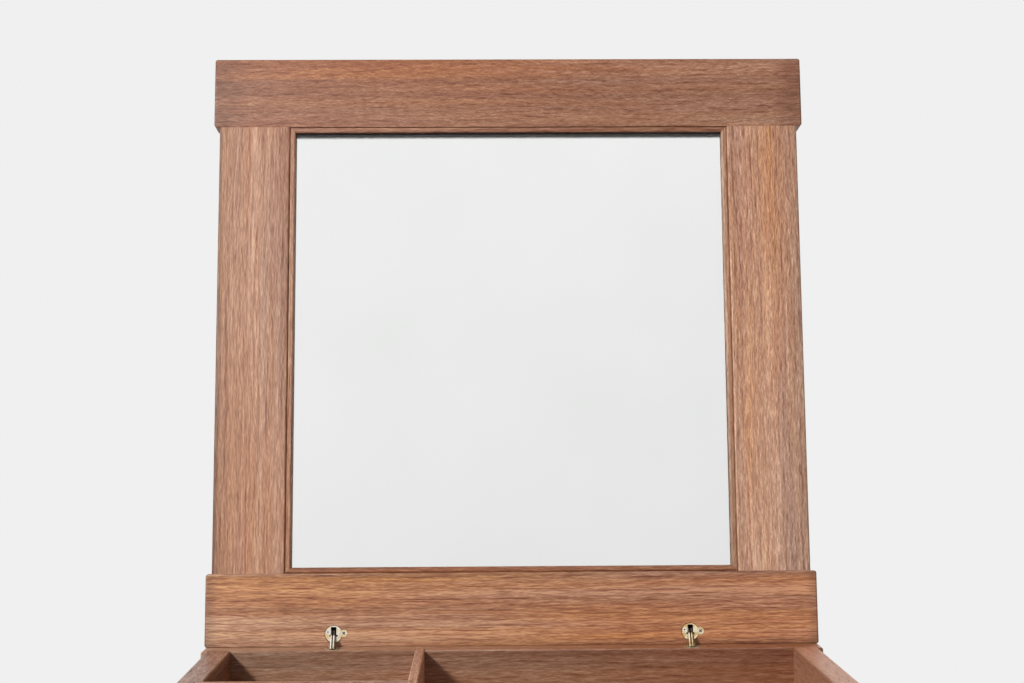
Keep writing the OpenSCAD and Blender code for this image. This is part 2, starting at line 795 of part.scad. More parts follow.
drawer_side(0, -1);  // lower_drawer_left
drawer_side(0, 1);  // lower_drawer_right
drawer_back(0);  // lower_drawer_back
drawer_bottom(0);  // lower_drawer_bottom
knob(0);  // lower_knob
knob_screw(0);  // lower_knob_screw
drawer_front(1);  // upper_drawer_front
drawer_side(1, -1);  // upper_drawer_left
drawer_side(1, 1);  // upper_drawer_right
drawer_back(1);  // upper_drawer_back
drawer_bottom(1);  // upper_drawer_bottom
knob(1);  // upper_knob
knob_screw(1);  // upper_knob_screw
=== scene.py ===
# %% [markdown]
# # A walnut dressing chest with a mirror in its lid
# The chest is a low box of walnut boards. Its lid is a frame of two rails and two stiles round a
# mirror, hung on two concealed brass hinges, and two drawers slide in below the open well. The
# packed model brings every board, screw and hinge arm at its real size and place. They could be
# modelled again here, but the solids are exact, so this script keeps them, gives them their finish
# and adds the silvering on the back of the mirror's glass.

# %% The packed model
import json
import math

import bmesh
import bpy
from mathutils import Matrix, Vector


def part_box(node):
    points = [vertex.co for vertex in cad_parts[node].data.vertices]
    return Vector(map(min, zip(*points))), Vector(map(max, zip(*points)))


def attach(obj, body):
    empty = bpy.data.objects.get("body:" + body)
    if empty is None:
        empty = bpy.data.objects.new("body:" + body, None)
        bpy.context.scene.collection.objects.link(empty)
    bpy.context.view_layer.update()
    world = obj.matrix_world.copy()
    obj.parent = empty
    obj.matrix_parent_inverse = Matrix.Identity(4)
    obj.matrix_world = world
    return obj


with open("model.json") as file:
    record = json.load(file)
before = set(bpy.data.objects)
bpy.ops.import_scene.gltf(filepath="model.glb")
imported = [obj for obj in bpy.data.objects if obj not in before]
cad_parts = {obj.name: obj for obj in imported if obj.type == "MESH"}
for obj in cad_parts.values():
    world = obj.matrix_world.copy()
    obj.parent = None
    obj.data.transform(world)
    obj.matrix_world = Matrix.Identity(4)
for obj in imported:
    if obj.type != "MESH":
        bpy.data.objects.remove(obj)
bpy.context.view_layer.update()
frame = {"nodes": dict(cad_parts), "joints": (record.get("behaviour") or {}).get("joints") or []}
MM = 0.001

# %% [markdown]
# The lid stands open. Its hinge line is the back top edge of the chest, and its lean follows from
# how far the hinge opens, so the directions along the lid and out of the mirror come from the
# joint and not from measuring. Every board of the lid uses them for its grain.

# %% Directions of the open lid
RIGHT, BACK, UP = Vector((1, 0, 0)), Vector((0, 1, 0)), Vector((0, 0, 1))
LEFT, FRONT = -RIGHT, -BACK
lid_hinge = next(j for j in frame["joints"] if j["name"] == "lid_hinge")
lid_lean = math.radians(lid_hinge["range_deg"][1] - 90)
UP_LID = Vector((0, math.sin(lid_lean), math.cos(lid_lean)))
OUT_OF_MIRROR = UP_LID.cross(RIGHT) * -1
print("the lid leans back", round(math.degrees(lid_lean), 1), "degrees; mirror faces",
      [round(v, 3) for v in OUT_OF_MIRROR])

# %% [markdown]
# The camera looks at the lid from a metre and a half in front of it, a little below the mirror's
# middle, and is very slightly turned. A long lens keeps the sides of the frame nearly parallel. It
# could be set by eye, but a few pixels of error show at once along such straight edges, so its
# place, its turn and its lens are solved numbers. The focal length is in pixels of the picture, and
# one line turns it into millimetres on a 36 mm sensor.

# %% Camera
PICTURE_W = 1024
FOCAL_PIXELS = 1778.6
SENSOR = 36.0
CAMERA_AT = Vector((-0.0221, -1.2500, 0.5751))
CAMERA_YAW, CAMERA_PITCH, CAMERA_ROLL = 0.0153, 0.0146, -0.0049


def camera_axes(yaw, pitch, roll):
    """The camera's right, up and forward directions."""
    forward = Vector((math.sin(yaw) * math.cos(pitch), math.cos(yaw) * math.cos(pitch), math.sin(pitch)))
    level_right = forward.cross(UP).normalized()
    level_up = level_right.cross(forward)
    right = level_right * math.cos(roll) + level_up * math.sin(roll)
    return right, right.cross(forward), forward


right, up, forward = camera_axes(CAMERA_YAW, CAMERA_PITCH, CAMERA_ROLL)
camera = bpy.data.objects.new("camera", bpy.data.cameras.new("camera"))
camera.matrix_world = Matrix.Translation(CAMERA_AT) @ Matrix((right, up, -forward)).transposed().to_4x4()
camera.data.sensor_fit = "HORIZONTAL"
camera.data.sensor_width = SENSOR
camera.data.lens = FOCAL_PIXELS / PICTURE_W * SENSOR
bpy.context.scene.collection.objects.link(camera)
bpy.context.scene.camera = camera
bpy.context.scene.view_settings.view_transform = "Standard"
print("lens", round(camera.data.lens, 1), "mm")

# %% [markdown]
# Shader maths is easier to read as sums than as chains of nodes. A `Wire` is one output socket
# that knows its node tree: adding, multiplying or subtracting a number or another wire puts the
# Math node there.


# %% Arithmetic on sockets
class Wire:
    """An output socket that takes part in Python arithmetic."""

    def __init__(self, wires, socket):
        self.wires, self.socket = wires, socket

    def math(self, operation, *values):
        return self.wires.node("ShaderNodeMath", {"operation": operation}, dict(enumerate(values)))

    def __add__(self, other):
        return self.math("ADD", self, other)

    def __sub__(self, other):
        return self.math("SUBTRACT", self, other)

    def __rsub__(self, other):
        return self.math("SUBTRACT", other, self)

    def __mul__(self, other):
        return self.math("MULTIPLY", self, other)

    def power(self, exponent):
        return self.math("POWER", self, exponent)

    def clipped(self):
        return self.math("MINIMUM", self.math("MAXIMUM", self, 0.0), 1.0)

    def ramp_up(self, start, end):
        """0 below start, 1 above end, and smooth between."""
        return self.wires.node("ShaderNodeMapRange", {"interpolation_type": "SMOOTHSTEP"},
                               {"Value": self, "From Min": start, "From Max": end})


print("a wire knows", [name for name in vars(Wire) if not name.startswith("_")])

# %% [markdown]
# Every other node comes from `Wires.node`, which sets the node's own options first, such as a ramp's
# stops, and then its sockets. Colours and vectors have methods of their own, because a Math node
# would turn a colour grey. Noise of one scale only is made by taking a noise away from itself half a
# wave to the side, which cancels what is wider than that. The difference of two noises swings more
# than one alone, so it is scaled down again. A Mix node keeps its sockets for numbers, vectors and
# colours in one row, so those for colours are known by their number.

# %% A node tree that takes expressions
DIFFERENCE_SCALE = 0.7
MIX_FACTOR, MIX_FIRST, MIX_SECOND, MIX_RESULT = 0, 6, 7, 2


class Wires:
    """The node tree of a material or of the world."""

    def __init__(self, owner):
        self.owner = owner
        owner.use_nodes = True
        self.tree = owner.node_tree
        self.tree.nodes.clear()

    def node(self, kind, settings=None, sockets=None, output=0):
        made = self.tree.nodes.new(kind)
        for option, value in (settings or {}).items():
            if option == "stops":
                stops = made.color_ramp.elements
                while len(stops) < len(value):
                    stops.new(0.5)
                for stop, (at, colour) in zip(stops, value):
                    stop.position, stop.color = at, colour
            else:
                setattr(made, option, value)
        for key, value in (sockets or {}).items():
            if isinstance(value, Wire):
                self.tree.links.new(value.socket, made.inputs[key])
            else:
                made.inputs[key].default_value = value
        return None if output is None else Wire(self, made.outputs[output])

    def place(self):
        """Where a point is on the piece, in metres."""
        return self.node("ShaderNodeTexCoord", output="Object")

    def vector(self, operation, *values):
        return self.node("ShaderNodeVectorMath", {"operation": operation}, dict(enumerate(values)))

    def dot(self, vector, direction):
        return self.node("ShaderNodeVectorMath", {"operation": "DOT_PRODUCT"},
                         {0: vector, 1: direction}, "Value")

    def length(self, vector):
        return self.node("ShaderNodeVectorMath", {"operation": "LENGTH"}, {0: vector}, "Value")

    def parts(self, vector):
        """The three numbers of a vector."""
        first = self.node("ShaderNodeSeparateXYZ", None, {"Vector": vector})
        return [Wire(self, socket) for socket in first.socket.node.outputs]

    def mix(self, factor, first, second):
        """first where factor is 0, second where it is 1, for colours."""
        return self.node("ShaderNodeMix", {"data_type": "RGBA"},
                         {MIX_FACTOR: factor, MIX_FIRST: first, MIX_SECOND: second}, MIX_RESULT)

    def noise(self, vector, stretch, detail=2.0, roughness=0.5, output=0):
        """Cloudy noise, with its own number of waves a metre along each axis."""
        scaled = self.vector("MULTIPLY", vector, stretch)
        return self.node("ShaderNodeTexNoise", None,
                         {"Vector": scaled, "Scale": 1.0, "Detail": detail, "Roughness": roughness}, output)

    def fine_noise(self, vector, stretch, detail=2.0, roughness=0.5):
        """Noise that keeps only its own scale, about 0 on average."""
        half_a_wave = 0.5 / stretch[1]
        beside = self.vector("ADD", vector, (0.0, half_a_wave, 0.0))
        first = self.noise(vector, stretch, detail, roughness)
        return (first - self.noise(beside, stretch, detail, roughness)) * DIFFERENCE_SCALE

    def ends_in(self, surface, kind="ShaderNodeOutputMaterial"):
        self.node(kind, None, {"Surface": surface}, None)
        return self.owner

    def principled(self, sockets):
        return self.ends_in(self.node("ShaderNodeBsdfPrincipled", None, sockets))


def new_material(name):
    return Wires(bpy.data.materials.new(name))


def srgb(red, green, blue):
    """A colour as it looks on a screen, 0 to 255, turned to the linear values that shaders use."""
    def linear(v):
        v /= 255
        return v / 12.92 if v <= 0.04045 else ((v + 0.055) / 1.055) ** 2.4
    return linear(red), linear(green), linear(blue), 1.0


print("middle grey is", round(srgb(128, 128, 128)[0], 3), "in linear light")

# %% [markdown]
# Walnut is the look of this piece. A saw cuts each board out of a log, so the pattern is worked out
# in the log: x runs along the grain, and the distance from the heart gives the growth rings. A
# picture of wood would have to be wrapped round every board and would smear on its ends, while a
# solid pattern shows the end grain without any extra work. Each kind of wood has its own colours,
# from the darkest streak to the palest.


# %% Two kinds of wood
class Timber:
    """The colours and habits of one kind of wood."""

    def __init__(self, stops, pore, contrast, pores, hue, roughness):
        self.stops, self.pore, self.contrast = stops, pore, contrast
        self.pores, self.hue, self.roughness = pores, hue, roughness


WALNUT = Timber(stops=[(0.15, (112, 60, 38)), (0.40, (148, 98, 71)),
                       (0.60, (171, 122, 94)), (0.85, (204, 157, 126))],
                pore=(84, 42, 26), contrast=0.8, pores=0.5, hue=1.0, roughness=0.42)
PALE_WOOD = Timber(stops=[(0.2, (196, 164, 122)), (0.5, (214, 184, 142)), (0.8, (228, 202, 164))],
                   pore=(170, 132, 92), contrast=0.6, pores=0.25, hue=0.5, roughness=0.55)
print("walnut has", len(WALNUT.stops), "shades, the drawers' pale wood has", len(PALE_WOOD.stops))

# %% [markdown]
# A Mapping node turns a point on the board into its place in the log. Turning the boards themselves
# would do as well, but a packed piece stays where it is. No line in wood is straight, so a slow sway
# of a few millimetres and a quick ripple of a few tenths then bend the log itself, and every noise
# that is laid over it bends along.

# %% A board's place in the log
SWAY_WAVES, SWAY = (2.5, 9, 9), (0.0, 14 * MM, 14 * MM)
RIPPLE_WAVES, RIPPLE = (30, 60, 60), (0.0, 0.6 * MM, 0.6 * MM)
HALF = (0.5, 0.5, 0.5)


def place_in_log(wires, grain, face, middle, cut):
    """Metres along the grain, across the board and out of its face, counted from the log's heart."""
    turn = Matrix((grain, face.cross(grain), face)).transposed()
    heart = middle - turn @ Vector(cut)
    return wires.node("ShaderNodeMapping", {"vector_type": "TEXTURE"},
                      {"Vector": wires.place(), "Location": heart, "Rotation": turn.to_euler()})


def bent_by_growth(wires, place):
    """The same place in a log that has swayed and rippled as it grew."""
    bent = place
    for waves, reach in ((SWAY_WAVES, SWAY), (RIPPLE_WAVES, RIPPLE)):
        push = wires.vector("SUBTRACT", wires.noise(place, waves, 1.0, output="Color"), HALF)
        bent = wires.vector("ADD", bent, wires.vector("MULTIPLY", push, reach))
    return bent


print("the grain sways up to", round(SWAY[1] / MM / 2), "mm each way")

# %% [markdown]
# Seen close, walnut has hardly any long stripes. Its figure is a mottle of short dark dashes, a few
# times as long as they are wide, over faint streaks and bands that run on along the board. A Wave
# texture would give stripes that are far too even, so layers of noise are added up instead, and the
# fine ones are stretched least and count for most. Veins are thin dark threads, and pores are the
# pits that the plane leaves open.


# %% The figure
class Layer:
    """Noise of one scale: waves a metre along and across the grain, its roughness and its share."""

    def __init__(self, along, across, roughness, share):
        self.along, self.across, self.roughness, self.share = along, across, roughness, share

    def cloudy(self, wires, place, dash=1.0, detail=2.0):
        """Noise of this scale and finer, about 0 on average, with streaks dash times as long."""
        stretch = (self.along / dash, self.across, self.across)
        return (wires.noise(place, stretch, detail, self.roughness) - 0.5) * self.share

    def fine(self, wires, place, dash, detail=2.0):
        """Noise of this scale alone, with streaks dash times as long."""
        stretch = (self.along / dash, self.across, self.across)
        return wires.fine_noise(place, stretch, detail, self.roughness) * self.share


BANDS = Layer(1.2, 30, 0.5, 0.60)
STREAKS = Layer(2.2, 80, 0.8, 0.85)
MOTTLE = Layer(18, 120, 0.9, 0.20)
DASHES = Layer(100, 420, 0.9, 1.15)
LINES = Layer(80, 450, 0.9, 1.20)
VEINS = Layer(22, 340, 0.5, 1.0)
PORES = Layer(120, 900, 0.5, 1.0)
VEIN_EDGES, VEIN_DEPTH = (0.02, 0.20), 0.30
PORE_EDGES = (0.08, 0.20)
RINGS_A_METRE, RING_DRIFT, RING_DETAIL, RING_SHARE = 200.0, 1.5, 1.5, 0.25
FIGURE_LIFT = 0.08


def growth_rings(wires, bent):
    """Rings round the heart of the log, which drift slowly along the grain."""
    along, across, depth = wires.parts(bent)
    from_heart = (across * across + depth * depth).power(0.5)
    ring_place = wires.node("ShaderNodeCombineXYZ", None,
                            {"X": along * RING_DRIFT, "Y": from_heart * RINGS_A_METRE})
    rings = wires.node("ShaderNodeTexNoise", None,
                       {"Vector": ring_place, "Scale": 1.0, "Detail": RING_DETAIL})
    return (rings - 0.5) * RING_SHARE


def figure_of(wires, bent, dash):
    """How light the wood is, about 0 on average, with its fine lines and its pores."""
    lines = LINES.fine(wires, bent, dash)
    veins = VEINS.fine(wires, bent, dash, detail=1.0).ramp_up(*VEIN_EDGES)
    pores = PORES.fine(wires, bent, dash, detail=1.0).ramp_up(*PORE_EDGES)
    wide = BANDS.cloudy(wires, bent) + growth_rings(wires, bent) + STREAKS.cloudy(wires, bent, dash)
    narrow = MOTTLE.fine(wires, bent, dash) + lines + DASHES.cloudy(wires, bent, dash)
    return wide + narrow - veins * VEIN_DEPTH + FIGURE_LIFT, lines, pores


print("dashes are", round(DASHES.across / DASHES.along, 1), "times as long as they are wide")

# %% [markdown]
# A board is darker or paler in strips along some of its edges, and such a strip is a `Rim`. The wide dark
# ones are the wood's own tone. The narrow dark ones at the rails' ends and along the joints round the
# mirror are painted shade. The narrow pale ones along those joints and inner edges are painted highlights,
# which also lighten the shade in the joints. A rim could be painted on the mesh, but the packed boards are
# large triangles with no points inside to paint, so the distance to the board's furthest point sets it.
# Only its last fifth has the full shade.

# %% Rims
RIM_FULL = 0.2


class Rim:
    """A strip along one edge of a board, its width in mm, and how much of its colour it keeps."""

    def __init__(self, towards, width, shade, hue=(1.0, 1.0, 1.0)):
        self.towards, self.width, self.tint = towards, width * MM, tuple(shade * part for part in hue)


def furthest(node, direction):
    """How far a packed piece reaches in a direction, in metres from the origin."""
    return max(vertex.co.dot(direction) for vertex in frame["nodes"][node].data.vertices)


def rimmed(wires, colour, node, rims):
    """The colour with the board's rims on it."""
    for rim in rims:
        edge = furthest(node, rim.towards)
        reach = wires.dot(wires.place(), rim.towards)
        near_edge = reach.ramp_up(edge - rim.width, edge - rim.width * RIM_FULL)
        colour = wires.mix(near_edge, colour, wires.vector("MULTIPLY", colour, rim.tint))
    return colour


print("the lid reaches", round(furthest("lid_front_rail", UP) / MM), "mm up")

# %% [markdown]
# Walnut isn't one brown. Orange and ochre run through it in streaks of their own, and each board is
# a little redder or more golden than the next. More stops in the colour ramp would tie these hues to
# light and dark, so they are separate noises that multiply red up and green and blue down.

# %% Orange and ochre
ORANGE_STREAKS, ORANGE_CLOUDS = Layer(2, 80, 0.6, 1.0), Layer(2.5, 15, 0.5, 0.8)
OCHRE_STREAKS = Layer(3, 120, 0.7, 0.4)
MORE_RED, LESS_GREEN, LESS_BLUE = 0.25, 0.2, 0.8
BLUE_TO_GREEN = 1.6


def tint_of(wires, place, bent, hue, red, gold):
    """What red, green and blue are multiplied by."""
    orange = ORANGE_STREAKS.cloudy(wires, bent) + ORANGE_CLOUDS.cloudy(wires, place, detail=1.0)
    ochre = OCHRE_STREAKS.cloudy(wires, bent)
    less_green = orange * (LESS_GREEN * hue) + red
    less_blue = (orange + ochre) * (LESS_BLUE * hue) + red * BLUE_TO_GREEN + gold
    return wires.node("ShaderNodeCombineXYZ", None,
                      {"X": orange * (MORE_RED * hue) + 1.0, "Y": 1.0 - less_green, "Z": 1.0 - less_blue})


print("a board that is 0.1 redder keeps 0.1 less green and", round(0.1 * BLUE_TO_GREEN, 2), "less blue")

# %% [markdown]
# A board is all of these together: a ramp turns its figure into brown, the streaks tint it, and the
# pores and rims go on top. Varnish would be a coat over the wood, but this wood is oiled, and oil
# soaks in. So there is no coat, only a satin surface that is rougher in the pores and smoother
# where the wood is pale, with the pores and fine lines as a shallow bump.

# %% A board's material
LINE_HEIGHT = 0.35 / LINES.share
PORE_ROUGHNESS, FIGURE_GLOSS = 0.2, 0.12
WOOD_BUMP, WOOD_BUMP_DEPTH = 0.25, 0.2 * MM
WOOD_IOR = 1.47


def wood(name, board, middle):
    """A satin oiled board, cut from its timber."""
    timber = board.timber
    w = new_material(name)
    place = place_in_log(w, board.grain, board.face, middle, board.cut)
    bent = bent_by_growth(w, place)
    figure, lines, pores = figure_of(w, bent, board.dash)
    from_middle = w.parts(place)[0] - board.cut[0]
    tone = figure * (board.bold * timber.contrast) + from_middle * board.fade + 0.5
    stops = [(at, srgb(*(value + board.light for value in colour))) for at, colour in timber.stops]
    colour = w.node("ShaderNodeValToRGB", {"stops": stops}, {"Fac": tone})
    red = from_middle * board.warm + board.red
    colour = w.vector("MULTIPLY", colour, tint_of(w, place, bent, timber.hue, red, board.gold))
    colour = w.mix(pores * timber.pores, colour, srgb(*timber.pore))
    colour = rimmed(w, colour, name, board.rims)
    height = lines * LINE_HEIGHT - pores
    normal = w.node("ShaderNodeBump", None,
                    {"Strength": WOOD_BUMP, "Distance": WOOD_BUMP_DEPTH, "Height": height})
    rough = pores * PORE_ROUGHNESS - figure * FIGURE_GLOSS + timber.roughness
    return w.principled({"Base Color": colour, "Normal": normal, "IOR": WOOD_IOR, "Roughness": rough})


print("the bump is", round(WOOD_BUMP_DEPTH / MM, 1), "mm deep at most")

# %% [markdown]
# One walnut for all boards would be less work, but no two boards of a real frame match. So each is
# listed once, with the direction of its grain, the direction its show face looks and the place it
# was cut from. Then come its own habits: how light it is, how long its dashes are, how bold its
# figure, how red or golden it is, and whether it grows lighter (`fade`) or redder (`warm`) along
# its grain. The lid comes first, because it is what one looks at.


# %% The boards of the lid
class Board:
    """One piece of wood: its timber, its directions, where it was cut, and its own habits."""

    def __init__(self, timber, grain, face, cut, light=0, dash=1.3, bold=0.8, red=0.0, gold=0.0,
                 fade=0.0, warm=0.0, rims=()):
        self.timber, self.grain, self.face, self.cut = timber, grain, face, cut
        self.light, self.dash, self.bold, self.red, self.gold = light, dash, bold, red, gold
        self.fade, self.warm, self.rims = fade, warm, rims


BOARDS = {
    "lid_front_rail": Board(
        WALNUT, RIGHT, OUT_OF_MIRROR, (0.4, 0.05, 0.09), light=-14, dash=0.75, red=0.03, fade=0.1,
        # The narrow rims at the two ends are painted shade on the eased ends; the wide ones are the wood's
        # own darker ends.
        rims=(Rim(LEFT, 34, 0.73, (1.03, 0.97, 0.93)), Rim(LEFT, 1.8, 0.72),
              Rim(RIGHT, 30, 0.69, (1.07, 0.97, 0.96)), Rim(RIGHT, 2, 0.65))),
    "lid_hinge_rail": Board(
        WALNUT, RIGHT, OUT_OF_MIRROR, (1.6, 0.11, 0.12), light=11, dash=1.8, bold=1.15, red=0.14,
        gold=0.13, warm=0.4,
        # The narrow rims at the ends are painted shade on the eased ends. The narrow pale one along the top
        # edge is a painted highlight that lightens the shade in the joint with the bead. The wide ones are
        # the wood's tone.
        rims=(Rim(LEFT, 12, 0.71), Rim(LEFT, 1.8, 0.65), Rim(RIGHT, 12, 0.78), Rim(RIGHT, 2.5, 0.68),
              Rim(-UP_LID, 10, 0.72), Rim(UP_LID, 1.5, 1.45), Rim(UP_LID, 20, 0.74, (1.0, 1.03, 1.08)))),
    "lid_stile_left": Board(
        WALNUT, UP_LID, OUT_OF_MIRROR, (1.1, 0.19, 0.08), light=7, dash=1.6, bold=0.82, red=-0.01,
        gold=0.03, fade=-0.2, rims=(Rim(LEFT, 5, 0.60), Rim(LEFT, 26, 0.83))),
    "lid_stile_right": Board(
        WALNUT, UP_LID, OUT_OF_MIRROR, (3.3, -0.06, 0.12), light=31, dash=1.05, bold=1.0, red=-0.04,
        gold=0.02, fade=-0.35,
        # The pale rim along the inner edge is a painted highlight on that edge.
        rims=(Rim(RIGHT, 8, 0.82), Rim(RIGHT, 30, 0.87), Rim(LEFT, 3.6, 1.2),
              Rim(-OUT_OF_MIRROR, 12, 0.72))),
    "lid_panel": Board(WALNUT, RIGHT, -OUT_OF_MIRROR, (0.9, 0.02, 0.10)),
    "bead_front": Board(WALNUT, RIGHT, OUT_OF_MIRROR, (0.1, 0.21, 0.05), light=-6,
                        # Both rims are painted shade: a near-black one on the bead's inner face, which the
                        # mirror shows below it, and a dark one along its joint with the rail.
                        rims=(Rim(-UP_LID, 0.35, 0.25), Rim(UP_LID, 0.6, 0.40))),
    "bead_hinge_side": Board(WALNUT, RIGHT, OUT_OF_MIRROR, (0.7, 0.25, 0.05), light=-14,
                             # The pale rim is a painted highlight that lightens the shade in the joint with
                             # the hinge rail.
                             rims=(Rim(-UP_LID, 0.5, 1.3),)),
    "bead_left": Board(WALNUT, UP_LID, OUT_OF_MIRROR, (1.2, 0.23, 0.04), light=-8, red=-0.08),
    "bead_right": Board(WALNUT, UP_LID, OUT_OF_MIRROR, (1.9, 0.22, 0.06), light=6, red=-0.14,
                        # The pale rim is a painted highlight that lightens the shade in the joint with the
                        # stile.
                        rims=(Rim(RIGHT, 0.6, 1.4),)),
}
print(len(BOARDS), "boards in the lid")

# %% [markdown]
# Rails and walls run left to right, and sides and dividers run front to back. The walls of the well have a
# narrow pale rim on their tops. On the back wall it is painted light over the shadow that the lid throws
# there, on the right wall a painted highlight, and on the left wall a grey painted reflection of the bright
# room. The left side is also made much darker than the other walls, which paints the deep shade on its
# inner face. The two drawer fronts come from one long board, 48 cm apart in the log, so they match, and the
# drawers behind them are of a plainer, paler wood, as in most chests.

# %% The boards of the chest
BOARDS |= {
    "back_wall": Board(WALNUT, RIGHT, FRONT, (0.5, 0.03, 0.11), light=-19, bold=0.65, red=-0.15,
                       # The pale rim on its top is painted light over the shadow of the lid.
                       gold=-0.03, fade=-0.5, warm=0.2, rims=(Rim(UP, 0.8, 1.45),)),
    "well_rail": Board(WALNUT, RIGHT, FRONT, (1.3, 0.08, 0.13)),
    # Its low light is painted shade for its inner face in the well, and the grey rim on its top is a
    # painted reflection of the bright room.
    "side_left": Board(WALNUT, BACK, LEFT, (0.3, 0.02, 0.16), light=-29, red=-0.08,
                       rims=(Rim(UP, 0.8, 1.14, (1.0, 1.12, 1.44)),)),
    # The pale rim on its top is a painted highlight of the top face.
    "side_right": Board(WALNUT, BACK, RIGHT, (1.5, 0.05, 0.15), light=1, bold=0.5,
                        rims=(Rim(UP, 0.8, 1.12, (1.0, 0.93, 0.88)),)),
    "well_floor": Board(WALNUT, RIGHT, UP, (2.4, 0.10, 0.07)),
    "long_divider": Board(WALNUT, BACK, RIGHT, (0.8, 0.14, 0.10), light=27, red=0.05),
    "cross_divider": Board(WALNUT, RIGHT, FRONT, (1.1, 0.12, 0.09), light=22),
    "drawer_rail": Board(WALNUT, RIGHT, FRONT, (1.8, 0.09, 0.08)),
    "base_board": Board(WALNUT, RIGHT, FRONT, (0.6, 0.04, 0.10)),
    "lower_drawer_front": Board(WALNUT, RIGHT, FRONT, (1.0, 0.06, 0.12)),
    "upper_drawer_front": Board(WALNUT, RIGHT, FRONT, (1.48, 0.06, 0.12)),
    "lower_knob": Board(WALNUT, BACK, UP, (0.2, 0.06, 0.06)),
    "upper_knob": Board(WALNUT, BACK, UP, (0.5, 0.07, 0.05)),
}
UPPER_SHIFT = 0.7
for level, shift in (("lower", 0.0), ("upper", UPPER_SHIFT)):
    for number, (hand, outwards) in enumerate((("left", LEFT), ("right", RIGHT))):
        BOARDS[f"{level}_drawer_{hand}"] = Board(PALE_WOOD, BACK, outwards, (shift + number, 0.12, 0.10))
        BOARDS[f"runner_{level}_{hand}"] = Board(PALE_WOOD, BACK, outwards, (shift + number, 0.20, 0.02))
    BOARDS[f"{level}_drawer_back"] = Board(PALE_WOOD, RIGHT, BACK, (shift + 0.3, 0.10, 0.12))
    BOARDS[f"{level}_drawer_bottom"] = Board(PALE_WOOD, RIGHT, UP, (shift + 0.5, 0.05, 0.14))
print(len(BOARDS), "boards in all")

# %% [markdown]
# A packed piece comes with a plain material. Its mesh stays as it is, and only what lies in its
# material slot changes. The grain needs the middle of each board, which its box gives.


# %% Dressing the boards
def dress(node, material):
    """Gives a packed piece one material all over."""
    mesh = frame["nodes"][node].data
    mesh.materials.clear()
    mesh.materials.append(material)


def middle_of(node):
    low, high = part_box(node)
    return (low + high) / 2


for node, board in BOARDS.items():
    dress(node, wood(node, board, middle_of(node)))
print(len(BOARDS), "boards dressed")

# %% [markdown]
# Real boards have no sharp edges: a maker takes them off with a few strokes of fine paper. Shading
# alone could fake that, but a rounded edge catches the light by itself, so a Bevel modifier eases
# the boards that show. A packed piece is loose triangles, so a Weld joins them first. The base
# board stays sharp, because easing pushed one of its points below the ground, and so do the right
# stile, two of the beads and the boards that hardly show.

# %% Easing the edges
BOARD_EASE, BEAD_EASE = 0.9 * MM, 0.4 * MM
EASED_BEADS = ("bead_front", "bead_left")
EASED_BOARDS = ("lid_front", "lid_hinge", "lid_stile_left", "lid_panel", "back_wall", "side_",
                "well_rail", "long_divider", "cross_divider", "lower_drawer_front", "upper_drawer_front")
SAME_POINT = 0.001 * MM
SHARP_EDGE = math.radians(40)
EASE_SEGMENTS = 2


def soften(node, width):
    """Eases the sharp edges of a packed board."""
    piece = frame["nodes"][node]
    weld = piece.modifiers.new("join", "WELD")
    weld.merge_threshold = SAME_POINT
    ease = piece.modifiers.new("ease", "BEVEL")
    ease.width = width
    ease.segments = EASE_SEGMENTS
    ease.limit_method = "ANGLE"
    ease.angle_limit = SHARP_EDGE
    ease.harden_normals = False


for node in EASED_BEADS:
    soften(node, BEAD_EASE)
for node in BOARDS:
    if node.startswith(EASED_BOARDS):
        soften(node, BOARD_EASE)
eased = [node for node in BOARDS if len(frame["nodes"][node].modifiers)]
print(len(eased), "of", len(BOARDS), "boards eased")

# %% [markdown]
# The hinges are turned and milled brass, and each piece has its own finish. In the lid the left barrel and
# its arms are paler, a painted highlight from the lamp's reflection, and the right ones are yellow. The
# barrels in the wall are duller. The arms that are pinned in the wall are dark, painted shade for arms that
# lie behind the lid's arms in their shadow. The screws in the ears are brass too, and the pins and the
# other screws are steel. One brass for all would look new. A finish is two colours and two roughnesses, and
# noise wanders between them.


# %% Brass and steel
class Finish:
    """Two colours that a metal wanders between, and two roughnesses."""

    def __init__(self, bright, dull, smooth, rough):
        self.bright, self.dull, self.smooth, self.rough = bright, dull, smooth, rough


BRIGHT_BRASS = Finish(srgb(244, 232, 204), srgb(222, 198, 150), 0.16, 0.30)
# Paler brass for the left barrel in the lid and its arms: a painted highlight.
HIGHLIGHT_BRASS = Finish(srgb(248, 244, 236), srgb(218, 194, 142), 0.16, 0.32)
YELLOW_BRASS = Finish(srgb(250, 238, 208), srgb(218, 186, 124), 0.16, 0.32)
DULLED_BRASS = Finish(srgb(240, 234, 222), srgb(206, 192, 164), 0.20, 0.36)
# Dark brass for the arms pinned in the wall: painted shade, as they lie behind the lid's arms.
SHADOWED_BRASS = Finish(srgb(128, 108, 82), srgb(84, 66, 48), 0.30, 0.45)
STEEL = Finish(srgb(242, 243, 246), srgb(204, 204, 206), 0.16, 0.30)
print("bright brass reflects", [round(v, 2) for v in BRIGHT_BRASS.bright[:3]], "of red, green and blue")

# %% [markdown]
# What makes a small hinge read as metal is contrast: its faces are bright, and every slot, bore and screw
# recess is black. Modelled holes alone stay too light, because they are so small. So a piece's finish knows
# the level of the face that looks out of the wood, and below it paints shade, near black. The arms get the
# same painted shade where they go into the slots.

